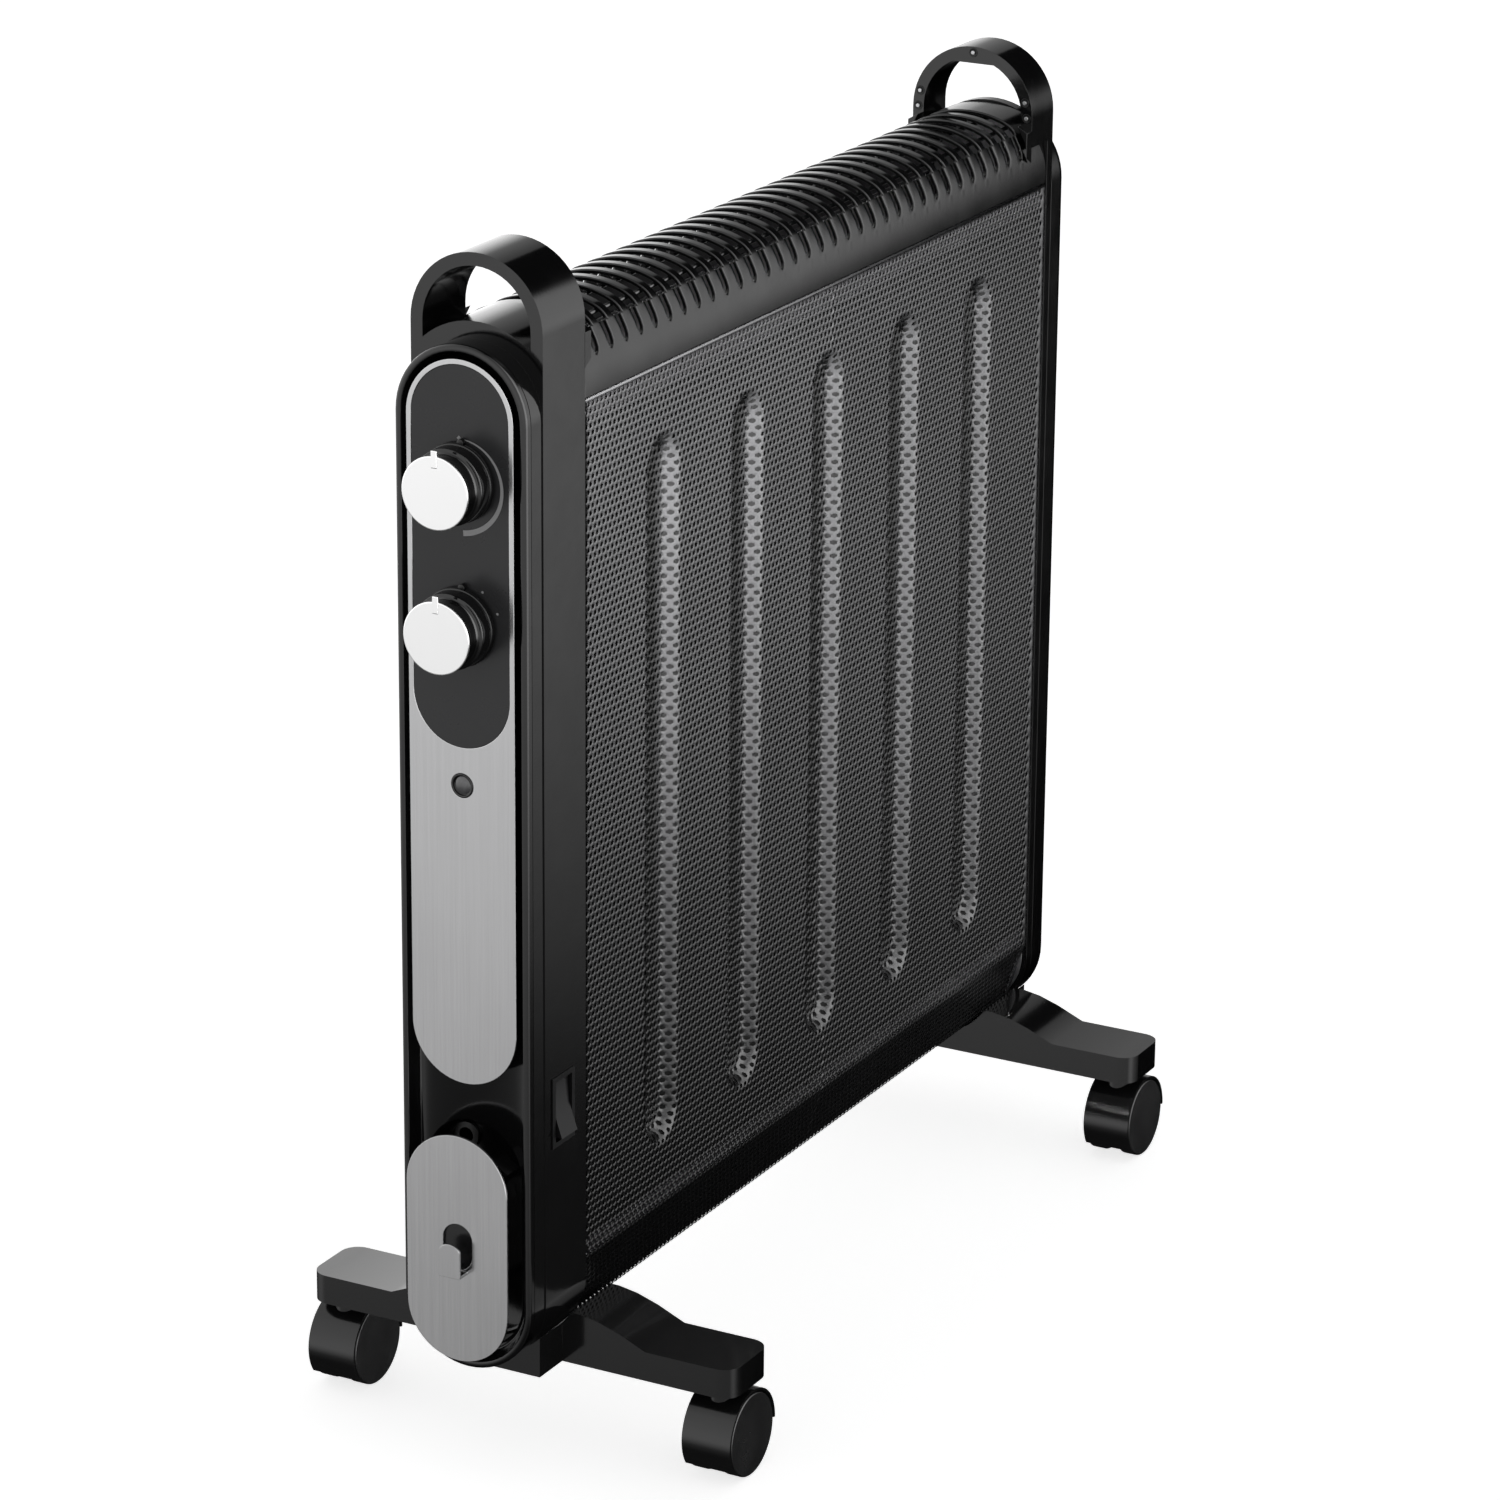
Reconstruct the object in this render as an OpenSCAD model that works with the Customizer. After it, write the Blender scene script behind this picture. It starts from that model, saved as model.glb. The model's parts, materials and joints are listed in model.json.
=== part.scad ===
// Slim panel convector heater on castors: two perforated steel panels between moulded end frames
// with handle rings, a slotted top grille, a control cover with two knobs and a cord winder bay.
// X runs along the length with the controls at -X, the rocker switch faces -Y, and Z is up.
// The origin is on the floor, under the centre of the bounding box.

/* [Overall] */
// Length from the knob faces to the far cover
overall_l = 624; // [600:1:660]
// Height of the handle rings above the floor
overall_h = 640; // [620:1:680]
// Thickness of the body, also the width of the covers
body_w = 74; // [70:1:80]
// Span of the feet across the heater
foot_span = 253; // [240:1:290]

/* [End frames] */
// Height of the lower arc centre of the end frames
frame_low_z = 97.5; // [94:0.5:104]
// Drop from the ring centre to the cover's upper arc centre
cover_drop = 42; // [40:0.5:46]
// Wall of the handle ring
ring_wall = 6.7; // [5:0.1:8]
// Radius of the saddle arc below the handle
saddle_r = 45; // [44:0.5:46]
// Depth of the control end frame
control_frame_d = 40.5; // [36:0.5:46]
// Depth of the far handle ring
far_ring_d = 27.5; // [24:0.5:32]
// Moulded wall of the frames
frame_wall = 3; // [2:0.1:4]

/* [Control cover] */
// Knob face to dial plate
knob_reach = 24; // [22:0.5:28]
// Cover rim to the front of the handle ring
cover_proud = 16; // [14:0.5:18]
// Depth of the tray behind the rim
tray_depth = 8; // [6:0.5:9]
// Depth of the cord bay behind the rim
bay_depth = 25.5; // [22:0.5:26]
// Half width of the silver dial plate
plate_r = 30; // [28:0.5:31]
// Half width of the dark dial inlay
inlay_r = 27.3; // [26:0.1:28]
// Height of the thermostat knob's axis
thermostat_z = 530; // [520:0.5:534]
// Height of the power selector knob's axis
selector_z = 457; // [445:0.5:465]
// Height of the indicator lens
lens_z = 374.5; // [330:0.5:385]
// Radius of the knob caps
knob_r = 18.7; // [17:0.1:20]

/* [Cord winder] */
// Half width of the winder plate
winder_r = 29.2; // [27:0.1:30]
// Upper arc centre of the winder plate
winder_top_z = 162; // [150:0.5:168]
// Winder plate's distance in front of the rim
winder_proud = 9.6; // [7:0.1:12]
// Radius of the cord inlet's bore
cord_bore_r = 3.75; // [3:0.05:4.5]

/* [Panels and grille] */
// Height of the panel's top edge
panel_top_z = 562; // [555:1:570]
// Height of the fold near the panel's bottom
panel_fold_z = 106; // [100:1:112]
// Pitch of the five pressed grooves
groove_pitch = 89; // [80:1:92]
// Half width of a groove
groove_r = 13; // [11:0.5:15]
// Depth of a groove
groove_depth = 8.5; // [6:0.5:10]
// Pitch of the grille slots
slot_pitch = 14.8; // [14:0.1:16]
// Number of grille slots
slot_count = 33; // [28:1:34]
// Width of the grille's open slots across the top
slot_w = 9; // [7:0.5:10]
// Width of the narrow slot ends on the sides
slot_end_w = 4; // [3:0.5:5]

/* [Feet and castors] */
// Width of a foot along the heater
foot_w = 41.5; // [36:0.5:46]
// Height of the feet's underside
foot_low_z = 50; // [49:0.5:52]
// Thickness of a foot at its end
foot_end_t = 16; // [14:0.5:20]
// Radius of the castor wheels
wheel_r = 22.5; // [21:0.5:23]
// Width of a castor
castor_w = 28; // [26:0.5:30]
// Castor centre inward from the end of the foot
castor_inset = 14; // [14:0.5:18]
// Swivel axis ahead of the wheel axle
castor_trail = 7; // [5:0.5:9]

/* [Hidden] */
$fn = 72;

black_plastic = [0.07, 0.07, 0.08];
dark_steel = [0.16, 0.16, 0.17];
silver = [0.72, 0.73, 0.75];
steel = [0.6, 0.61, 0.63];
mica = [0.62, 0.5, 0.33];

gap = 0.2;
body_r = body_w / 2;
ring_z = overall_h - body_r;
cover_z = ring_z - cover_drop;
low_z = frame_low_z;
x_knob = -overall_l / 2;
x_plate = x_knob + knob_reach;
x_rim = x_plate + 0.6;
x_parting = x_rim + 4.4;
x_tray = x_rim + tray_depth;
x_bay = x_rim + bay_depth;
x_frame = x_rim + cover_proud;
x_panel0 = x_frame + control_frame_d;
x_end = overall_l / 2;
x_far_cover = x_end - 17.5;
x_far_ring = x_far_cover - far_ring_d;
x_panel1 = x_far_cover - 6.5;
inner_r = body_r - frame_wall;
cover_floor_t = 2.5;
bulkhead_t = 1.5;
x_bulkhead0 = x_panel0 - bulkhead_t;
x_bulkhead1 = x_panel1;

plate_low_z = 246.5;
inlay_low_z = 421.5;
plate_t = 1.4;
inlay_t = 0.6;
tray_r = 33.4;
bay_r = 27.5;
bay_top_z = 166;
bush_r = 4.5;
shaft_r = 3;
running = 0.05;
lens_r = 5.8;

panel_y = body_r - 1;
panel_t = 1;
groove_low_z = 156;
groove_top_z = 511;
groove_mid_x = (x_panel0 + x_panel1) / 2 - 2;
grille_r = saddle_r - 1;
grille_y = body_r - 0.2;
grille_t = 2.4;
slot_x0 = x_panel0 + 15.6;
slot_low_z = 583.5;
slot_wide_z = 595;

foot_top_z = foot_low_z + foot_end_t;
control_foot_x = x_panel0 + 13.6;
far_foot_x = x_panel1 - 24.5;
castor_y = foot_span / 2 - castor_inset;
axle_dx = 1.5;
axle_r = 2.5;
stem_r = 3.5;
web_t = 3;
web_z = 27.6;
block_reach = 22.9;
foot_screw_dx = 27.75;
foot_screw_y = 14;
web_half = 5;
hood_r = wheel_r + 2;
hood_t = 1.4;
hood_low_angle = 215;
hood_top_z = foot_low_z - 1.8;

rocker_x = x_frame + 17.2;
rocker_z = 199;
rocker_w = 22;
rocker_h = 38;
rocker_pivot_y = -body_r + 3.6;
rocker_tilt = 11;
rocker_pin_r = 1.2;

gland_y = 14;
gland_z = 177;
hub_low_z = 112;
hub_top_z = 148;
hub_r = 14;

// Extrudes an outline drawn in Y and Z from x0 to x1
module along_x(x0, x1) {
    translate([x0, 0, 0]) rotate([90, 0, 90]) linear_extrude(x1 - x0) children();
}

// Extrudes an outline drawn in X and Z from y0 to y1
module along_y(y0, y1) {
    translate([0, y1, 0]) rotate([90, 0, 0]) linear_extrude(y1 - y0) children();
}

// Outline with round ends, from the arc centre z0 up to z1
module stadium(r, z0, z1) {
    translate([0, z0]) circle(r);
    translate([0, z1]) circle(r);
    translate([-r, z0]) square([2 * r, z1 - z0]);
}

// Cylinder along X from x0 to x1
module x_rod(r, x0, x1, y, z) {
    translate([x0, y, z]) rotate([0, 90, 0]) cylinder(r = r, h = x1 - x0);
}

// Box from one corner to the other
module box(low, high) {
    translate(low) cube(high - low);
}

// Round wire through a list of points
module wire(points, r) {
    for (i = [0 : len(points) - 2]) {
        step = points[i + 1] - points[i];
        length = norm(step);
        translate(points[i])
            rotate([0, acos(step[2] / length), atan2(step[1], step[0])])
                cylinder(r = r, h = length, $fn = 24);
    }
    for (i = [1 : len(points) - 2]) {
        translate(points[i]) sphere(r = r, $fn = 24);
    }
}

// Handle opening: a ring's inside with the saddle arc as its floor, cut flat at a height above the ring's centre
module handle_hole(top) {
    hole_r = body_r - ring_wall;
    difference() {
        stadium(hole_r, ring_z - 20, ring_z);
        translate([0, cover_z]) circle(saddle_r);
        translate([-body_r, ring_z + top]) square([2 * body_r, body_r]);
    }
}

// Screw holes through the bottom wall of an end frame
module frame_screw_holes(x) {
    for (y = [-foot_screw_y, foot_screw_y]) {
        translate([x, y, foot_low_z]) cylinder(r = 1.55, h = 20);
    }
}

// Control end frame: open tube below, solid saddle and handle ring above
module control_frame() {
    color(black_plastic)
    difference() {
        union() {
            along_x(x_frame, x_panel0) stadium(body_r, low_z, ring_z);
            along_x(x_parting + 1.5, x_frame) stadium(body_r - 0.6, low_z, cover_z);
            along_x(x_parting, x_parting + 1.6) stadium(body_r - 2, low_z, cover_z);
        }
        along_x(x_parting - 1, x_panel0 + 1) stadium(inner_r, low_z, cover_z);
        along_x(x_frame - 1, x_panel0 - web_t) handle_hole(body_r);
        along_x(x_panel0 - web_t - 1, x_panel0 + 1) handle_hole(web_z);
        box([rocker_x - 9.4, -body_r - 1, rocker_z - 17.4], [rocker_x + 9.4, -body_r + 5, rocker_z + 17.4]);
        frame_screw_holes(control_foot_x - foot_screw_dx);
    }
}

// Control cover: tray with a raised dial bed above and the deep cord bay below
module control_cover() {
    color(black_plastic)
    difference() {
        union() {
            difference() {
                union() {
                    along_x(x_rim, x_parting) stadium(body_r, low_z, cover_z);
                    along_x(x_parting, x_tray + cover_floor_t) stadium(inner_r - gap, low_z, cover_z);
                    along_x(x_tray, x_bay + cover_floor_t) stadium(bay_r + 1.8, low_z, bay_top_z);
                }
                along_x(x_rim - 1, x_tray) stadium(tray_r, low_z, cover_z);
            }
            along_x(x_plate + plate_t, x_tray + 1) stadium(plate_r - 1.6, plate_low_z, cover_z);
        }
        along_x(x_rim - 2, x_bay) stadium(bay_r, low_z, bay_top_z);
        for (z = [thermostat_z, selector_z]) {
            x_rod(bush_r + gap, x_rim - 2, x_tray + 4, 0, z);
        }
        x_rod(lens_r + 0.1, x_rim - 2, x_tray + 4, 0, lens_z);
        x_rod(6.05, x_bay - 1, x_bay + 4, gland_y, gland_z);
    }
}

// Silver dial plate with a shallow bed for the dark inlay
module control_plate() {
    color(silver)
    difference() {
        along_x(x_plate, x_plate + plate_t) stadium(plate_r, plate_low_z, cover_z);
        along_x(x_plate - 1, x_plate + inlay_t + 0.2) stadium(inlay_r, inlay_low_z, cover_z);
        for (z = [thermostat_z, selector_z]) {
            x_rod(bush_r + gap, x_plate - 1, x_plate + 3, 0, z);
        }
        x_rod(lens_r + 0.5, x_plate - 1, x_plate + 3, 0, lens_z);
    }
}

// Dark inlay that carries the dial marks
module dial_inlay() {
    color([0.18, 0.18, 0.19])
    difference() {
        along_x(x_plate + 0.2, x_plate + 0.2 + inlay_t) stadium(inlay_r - 0.1, inlay_low_z, cover_z);
        for (z = [thermostat_z, selector_z]) {
            x_rod(bush_r + gap, x_plate - 1, x_plate + 3, 0, z);
        }
    }
}

// Black knob body with a flared skirt, bored for its shaft
module knob(z) {
    color(black_plastic)
    difference() {
        union() {
            x_rod(knob_r + 1.3, x_plate - 4, x_plate - 0.8, 0, z);
            x_rod(knob_r + 0.5, x_knob + 1.5, x_plate - 3.8, 0, z);
        }
        x_rod(shaft_r, x_knob + 5, x_plate, 0, z);
        x_rod(knob_r - 3.5, x_plate - 10, x_plate, 0, z);
    }
    color(black_plastic)
    difference() {
        x_rod(bush_r + 1, x_plate - 11, x_plate - 4, 0, z);
        x_rod(shaft_r, x_knob + 5, x_plate, 0, z);
    }
}

// Silver knob cap with a short pointer nib at its top
module knob_cap(z) {
    color(silver) {
        x_rod(knob_r, x_knob, x_knob + 1.5, 0, z);
        box([x_knob, -1.7, z + knob_r - 5], [x_knob + 1.5, 1.7, z + knob_r + 3]);
    }
}

// Control shaft turning with its knob
module knob_shaft(z) {
    color(steel) x_rod(shaft_r, x_knob + 5, x_tray + 16, 0, z);
}

// Switch or thermostat housing behind the tray, with its bush and blade terminals
module control_body(z, half_y, half_z, depth) {
    x0 = x_tray + cover_floor_t + gap;
    color([0.85, 0.83, 0.76])
    difference() {
        union() {
            box([x0, -half_y, z - half_z], [x0 + depth, half_y, z + half_z]);
            x_rod(bush_r, x_plate + 1.6, x0 + 1, 0, z);
        }
        x_rod(shaft_r + running, x_plate, x_tray + 17, 0, z);
    }
    color(steel)
    for (y = [-8, 8]) {
        for (dz = [-9, 9]) {
            box([x0 + depth, y - 0.4, z + dz - 3], [x0 + depth + 7, y + 0.4, z + dz + 3]);
        }
    }
}

// Round indicator window
module indicator_lens() {
    color([0.25, 0.25, 0.26]) x_rod(lens_r, x_plate + 0.9, x_tray + cover_floor_t + 1, 0, lens_z);
}

// Neon lamp behind the window
module neon_lamp() {
    x0 = x_tray + cover_floor_t + 1 + gap;
    color([0.9, 0.45, 0.25]) x_rod(3, x0, x0 + 14, 0, lens_z);
}

// Rocker switch housing: flange outside, open well for the button
module rocker_housing() {
    flange_y = -body_r - 0.8;
    color(black_plastic)
    difference() {
        union() {
            box([rocker_x - rocker_w / 2, flange_y, rocker_z - rocker_h / 2],
                [rocker_x + rocker_w / 2, -body_r, rocker_z + rocker_h / 2]);
            box([rocker_x - 9.3, flange_y, rocker_z - 17.3], [rocker_x + 9.3, -body_r + 12, rocker_z + 17.3]);
        }
        box([rocker_x - 8.1, flange_y - 1, rocker_z - 16.3], [rocker_x + 8.1, -body_r + 9.6, rocker_z + 16.3]);
        x_rod(rocker_pin_r + running, rocker_x - 8.9, rocker_x + 8.9, rocker_pivot_y, rocker_z);
    }
}

// Rocker button with its pivot pins, lower end proud
module rocker_button() {
    color(dark_steel)
    translate([rocker_x, rocker_pivot_y, rocker_z]) rotate([-rocker_tilt, 0, 0]) {
        along_x(-7.7, 7.7) polygon([[-5, -15], [-3, 0], [-5, 15], [1.5, 13], [4.5, 4], [4.5, -4], [1.5, -13]]);
        x_rod(rocker_pin_r, -8.8, 8.8, 0, 0);
    }
}

// Thermal cut-out disc on the bulkhead
module thermal_cutout() {
    color(steel) x_rod(8, x_bulkhead0 - 6, x_bulkhead0, 0, 575);
    color([0.85, 0.83, 0.76]) x_rod(6, x_bulkhead0 - 12, x_bulkhead0 - 5, 0, 575);
}

// Sealed tip-over switch on the bulkhead
module tip_over_switch() {
    color([0.85, 0.83, 0.76]) box([x_bulkhead0 - 22, -9, 236], [x_bulkhead0, 9, 264]);
}

// Screw terminal block on the bulkhead
module terminal_block() {
    color([0.9, 0.88, 0.8])
    difference() {
        box([x_bulkhead0 - 16, -24, 290], [x_bulkhead0, 24, 308]);
        for (y = [-18, -6, 6, 18]) {
            x_rod(2.4, x_bulkhead0 - 17, x_bulkhead0 - 6, y, 299);
        }
    }
}

// Internal leads from the terminal block to the controls
module wiring_loom() {
    x_lead = x_bulkhead0 - 15;
    color([0.75, 0.2, 0.15])
        wire([[x_lead, -20, 308.3], [x_lead, -20, 448], [x_lead, -8.6, 448]], 1.2);
    color([0.15, 0.3, 0.7])
        wire([[x_lead, 20, 308.3], [x_lead, 20, 521], [x_lead, 8.6, 521]], 1.2);
    color([0.2, 0.6, 0.25])
        wire([[x_lead, 8, 289.7], [x_lead, 8, 264.3]], 1.2);
    color([0.75, 0.2, 0.15])
        wire([[x_lead, -20, 289.7], [x_lead, -20, 230], [x_lead, -29, 230], [x_lead, -29, 216.6]], 1.2);
}

// Cord inlet through the floor of the winder bay
module cord_gland() {
    color(black_plastic)
    difference() {
        union() {
            x_rod(6, x_bay - 2, x_bay + 12, gland_y, gland_z);
            x_rod(7.5, x_bay - 2, x_bay, gland_y, gland_z);
            x_rod(7.5, x_bay + cover_floor_t, x_bay + cover_floor_t + 2.5, gland_y, gland_z);
        }
        x_rod(cord_bore_r, x_bay - 3, x_bay + 13, gland_y, gland_z);
    }
}

// Winding hub in the bay with the cord-end rest at its upper corner
module winder_drum() {
    x_front = x_rim - winder_proud;
    color([0.1, 0.1, 0.11]) {
        difference() {
            along_x(x_front + 1.5, x_bay) stadium(hub_r, hub_low_z, hub_top_z);
            along_x(x_front + 4, x_bay + 1) stadium(hub_r - 3, hub_low_z, hub_top_z);
        }
        along_x(x_front + 8, x_front + 20)
            translate([-6, hub_top_z + 6]) rotate(35) translate([-5, 0]) square([10, 26]);
    }
}

// Steel winder plate with its pressed-out cord hook
module winder_plate() {
    x_front = x_rim - winder_proud;
    hook_x = x_front - 7.5;
    color(silver) {
        difference() {
            along_x(x_front, x_front + 1.5) stadium(winder_r, low_z, winder_top_z);
            along_x(x_front - 1, x_front + 3) translate([-0.5, 0]) stadium(8.5, 127, 135);
        }
        box([hook_x, -6, 116.9], [x_front + 0.2, 6, 118.4]);
        along_x(hook_x, hook_x + 1.5) {
            translate([-6, 116.9]) square([12, 13.1]);
            intersection() {
                translate([0, 128]) circle(7);
                translate([-6, 128]) square([12, 8]);
            }
        }
    }
}

// Far end frame: flat end plate with a deep handle ring over the grille
module far_frame() {
    color(black_plastic) {
        difference() {
            along_x(x_panel1, x_far_cover) stadium(body_r, low_z, ring_z);
            along_x(x_panel1 - 1, x_far_cover + 1) stadium(inner_r, low_z, cover_z);
            along_x(x_panel1 - 1, x_far_cover + 1) handle_hole(body_r);
            frame_screw_holes(far_foot_x + foot_screw_dx);
        }
        difference() {
            along_x(x_far_ring, x_panel1) stadium(body_r, cover_z + 18, ring_z);
            along_x(x_far_ring - 1, x_far_ring + web_t + 1) handle_hole(web_z);
            along_x(x_far_ring + web_t, x_panel1 + 1) handle_hole(body_r);
            along_x(x_far_ring - 1, x_panel1 + 1) translate([0, cover_z]) circle(saddle_r);
            box([x_far_ring - 1, -body_r - 1, cover_z - 30], [x_panel1 + 1, body_r + 1, cover_z + 18]);
        }
    }
}

// Far end cover: plain shell
module far_cover() {
    color(black_plastic)
    difference() {
        union() {
            along_x(x_far_cover, x_end - 3) stadium(body_r, low_z, cover_z);
            along_x(x_end - 3, x_end) stadium(body_r - 2.5, low_z, cover_z);
        }
        along_x(x_far_cover - 1, x_end - 3) stadium(inner_r - 1, low_z, cover_z);
    }
}

// Outline of a panel in Y and Z, folded inward near the bottom
module panel_outline(t) {
    polygon([[-panel_y, panel_top_z], [-panel_y, panel_fold_z], [-25, 71], [-13, 64],
             [-13, 64 + t], [-25 + t, 71 + t], [-panel_y + t, panel_fold_z + 0.3], [-panel_y + t, panel_top_z]]);
}

// Perforated steel panel with five pressed grooves
module panel() {
    color(dark_steel)
    difference() {
        union() {
            along_x(x_panel0 + gap, x_panel1 - gap) panel_outline(panel_t);
            for (i = [-2 : 2]) {
                translate([groove_mid_x + i * groove_pitch, 0, 0])
                    along_y(-panel_y + 0.5, -panel_y + groove_depth + panel_t)
                        stadium(groove_r + panel_t, groove_low_z, groove_top_z);
            }
        }
        for (i = [-2 : 2]) {
            translate([groove_mid_x + i * groove_pitch, 0, 0])
                along_y(-panel_y - 1, -panel_y + groove_depth) stadium(groove_r, groove_low_z, groove_top_z);
        }
    }
}

// Outline of the grille: flat sides and a shallow arched top
module grille_outline(inset) {
    r = grille_r - inset;
    y = grille_y - inset;
    intersection() {
        translate([0, cover_z]) circle(r);
        translate([-y, panel_top_z - 1]) square([2 * y, 60]);
    }
}

// Slotted top grille
module top_grille() {
    color(black_plastic)
    difference() {
        along_x(x_panel0 + gap, x_panel1 - gap) grille_outline(0);
        along_x(x_panel0 - 1, x_panel1 + 1) grille_outline(grille_t);
        box([x_panel0 - 1, -body_r - 1, panel_top_z - 2], [x_panel1 + 1, body_r + 1, panel_top_z + 0.3]);
        for (i = [0 : slot_count - 1]) {
            x = slot_x0 + i * slot_pitch;
            box([x - slot_w / 2, -32, slot_wide_z - 12], [x + slot_w / 2, 32, slot_wide_z + 30]);
            translate([x, 0, 0])
                along_y(-body_r - 1, body_r + 1) stadium(slot_end_w / 2, slot_low_z, slot_wide_z + 4);
        }
    }
}

// Mica heating element board
module element(y) {
    color(mica) box([x_panel0, y, 125], [x_panel1, y + 1.2, 540]);
}

// Reflector sheet between the elements
module reflector_sheet() {
    color(steel) box([x_panel0, -0.4, 118], [x_panel1, 0.4, 548]);
}

// Channel rail between the bulkheads, open downward or upward
module rail(z, flip) {
    half = panel_y - panel_t;
    color(steel)
    difference() {
        box([x_panel0, -half, z], [x_panel1, half, z + 10]);
        box([x_panel0 - 1, 1.2 - half, z + (flip ? -1 : 1.2)], [x_panel1 + 1, half - 1.2, z + (flip ? 8.8 : 11)]);
    }
}

// Steel bulkhead that closes an end frame
module bulkhead(x) {
    color(steel) along_x(x, x + bulkhead_t) stadium(inner_r - gap, low_z, cover_z);
}

// Side view of a foot: flat end, slope and cradle for the body
module foot_side() {
    half = foot_span / 2;
    difference() {
        polygon([[-half, foot_low_z], [half, foot_low_z], [half, foot_top_z], [76, foot_top_z], [60, 72.8],
                 [48, 76.6], [37, 78.4], [-37, 78.4], [-48, 76.6], [-60, 72.8], [-76, foot_top_z],
                 [-half, foot_top_z]]);
        translate([0, low_z]) circle(body_r + gap);
    }
}

// Plan view of a foot: a bar with round corners
module foot_plan() {
    corner = 10;
    square([foot_w - 2 * corner, foot_span], center = true);
    square([foot_w, foot_span - 2 * corner], center = true);
    for (x = [-1, 1]) {
        for (y = [-1, 1]) {
            translate([x * (foot_w / 2 - corner), y * (foot_span / 2 - corner)]) circle(corner);
        }
    }
}

// Foot bar with a block under the end frame on the side given by end, and blind bores for the stems
module foot(x, end) {
    block_x = x + end * (foot_w / 2 + block_reach / 2 - 0.5);
    color(black_plastic)
    difference() {
        union() {
            intersection() {
                along_x(x - foot_w / 2, x + foot_w / 2) foot_side();
                translate([x, 0, foot_low_z - 1]) linear_extrude(40) foot_plan();
            }
            along_x(block_x - block_reach / 2 - 0.5, block_x + block_reach / 2 + 0.5)
                difference() {
                    translate([-27, foot_low_z]) square([54, 26]);
                    translate([0, low_z]) circle(body_r + gap);
                }
        }
        for (y = [-castor_y, castor_y]) {
            translate([x + axle_dx - castor_trail, y, foot_low_z - 1]) cylinder(r = stem_r + running, h = 13.5);
        }
        for (y = [-foot_screw_y, foot_screw_y]) {
            translate([x + end * foot_screw_dx, y, foot_low_z - 1]) cylinder(r = 1.6, h = 20);
            translate([x + end * foot_screw_dx, y, foot_low_z - 1]) cylinder(r = 3.4, h = 4);
        }
    }
}

// Screws seen on the inner faces of the handle rings
module handle_screws() {
    color(steel)
    for (x = [x_panel0, x_far_ring - 1]) {
        for (a = [0, 15, 90, 165, 180]) {
            r = body_r - ring_wall / 2;
            x_rod(1.1, x, x + 1, r * cos(a), ring_z + r * sin(a));
        }
    }
}

// Screws that hold the feet
module foot_screws() {
    color(steel)
    for (x = [control_foot_x - foot_screw_dx, far_foot_x + foot_screw_dx]) {
        for (y = [-foot_screw_y, foot_screw_y]) {
            translate([x, y, foot_low_z + 0.5]) cylinder(r = 3.2, h = 2.5);
            translate([x, y, foot_low_z + 2]) cylinder(r = 1.5, h = 16);
        }
    }
}

// Screws through the bulkheads
module bulkhead_screws() {
    color(steel)
    for (z = [low_z + 20, 330, cover_z - 10]) {
        for (y = [-26, 26]) {
            x_rod(2.5, x_bulkhead0 - 1.6, x_bulkhead0, y, z);
            x_rod(2.5, x_bulkhead1 + bulkhead_t, x_bulkhead1 + bulkhead_t + 1.6, y, z);
        }
    }
}

// Castor hood: round shell, central web and boss for the stem
module castor_hood() {
    reach = 40;
    side = castor_w / 2;
    color(black_plastic)
    difference() {
        union() {
            along_y(-side, side)
                difference() {
                    translate([0, wheel_r]) circle(hood_r);
                    translate([0, wheel_r]) circle(hood_r - hood_t);
                    hood_cutaway(reach);
                }
            along_y(-web_half, web_half) {
                difference() {
                    translate([0, wheel_r]) circle(hood_r - hood_t / 2);
                    hood_cutaway(reach);
                }
                translate([0, wheel_r]) circle(8);
            }
            difference() {
                translate([-castor_trail, 0, wheel_r + 16]) cylinder(r = 6.5, h = hood_top_z - wheel_r - 16);
                along_y(-side, side) translate([0, wheel_r]) circle(hood_r - hood_t);
            }
        }
        translate([-castor_trail, 0, 33]) cylinder(r = stem_r, h = 20);
        along_y(-side, side) translate([0, wheel_r]) circle(axle_r + running);
    }
}

// Region below the hood's edges
module hood_cutaway(reach) {
    low = [reach * cos(hood_low_angle), wheel_r + reach * sin(hood_low_angle)];
    polygon([[0, wheel_r], [reach, wheel_r], [reach, wheel_r - reach], [low[0], wheel_r - reach], low]);
}

// Castor stem with its collar
module castor_stem() {
    color(steel)
    translate([-castor_trail, 0, 0]) {
        translate([0, 0, 33]) cylinder(r = stem_r, h = foot_low_z + 12 - 33);
        translate([0, 0, hood_top_z]) cylinder(r = 6, h = 1.4);
    }
}

// Castor axle
module castor_axle() {
    color(steel) along_y(-castor_w / 2 + 1.5, castor_w / 2 - 1.5) translate([0, wheel_r]) circle(axle_r);
}

// Twin wheels with plain outer faces, pressed on the axle
module castor_wheels() {
    outer = castor_w / 2;
    color(black_plastic)
    for (s = [0, 1]) {
        mirror([0, s, 0])
        difference() {
            along_y(web_half + 0.4, outer) translate([0, wheel_r]) circle(wheel_r);
            along_y(web_half - 1, outer - 1.5) translate([0, wheel_r]) circle(axle_r);
        }
    }
}

// Moves a castor piece under the foot at x, on the side given by sign
module at_castor(x, side) {
    translate([x + axle_dx, side * castor_y, 0]) children();
}

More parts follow.
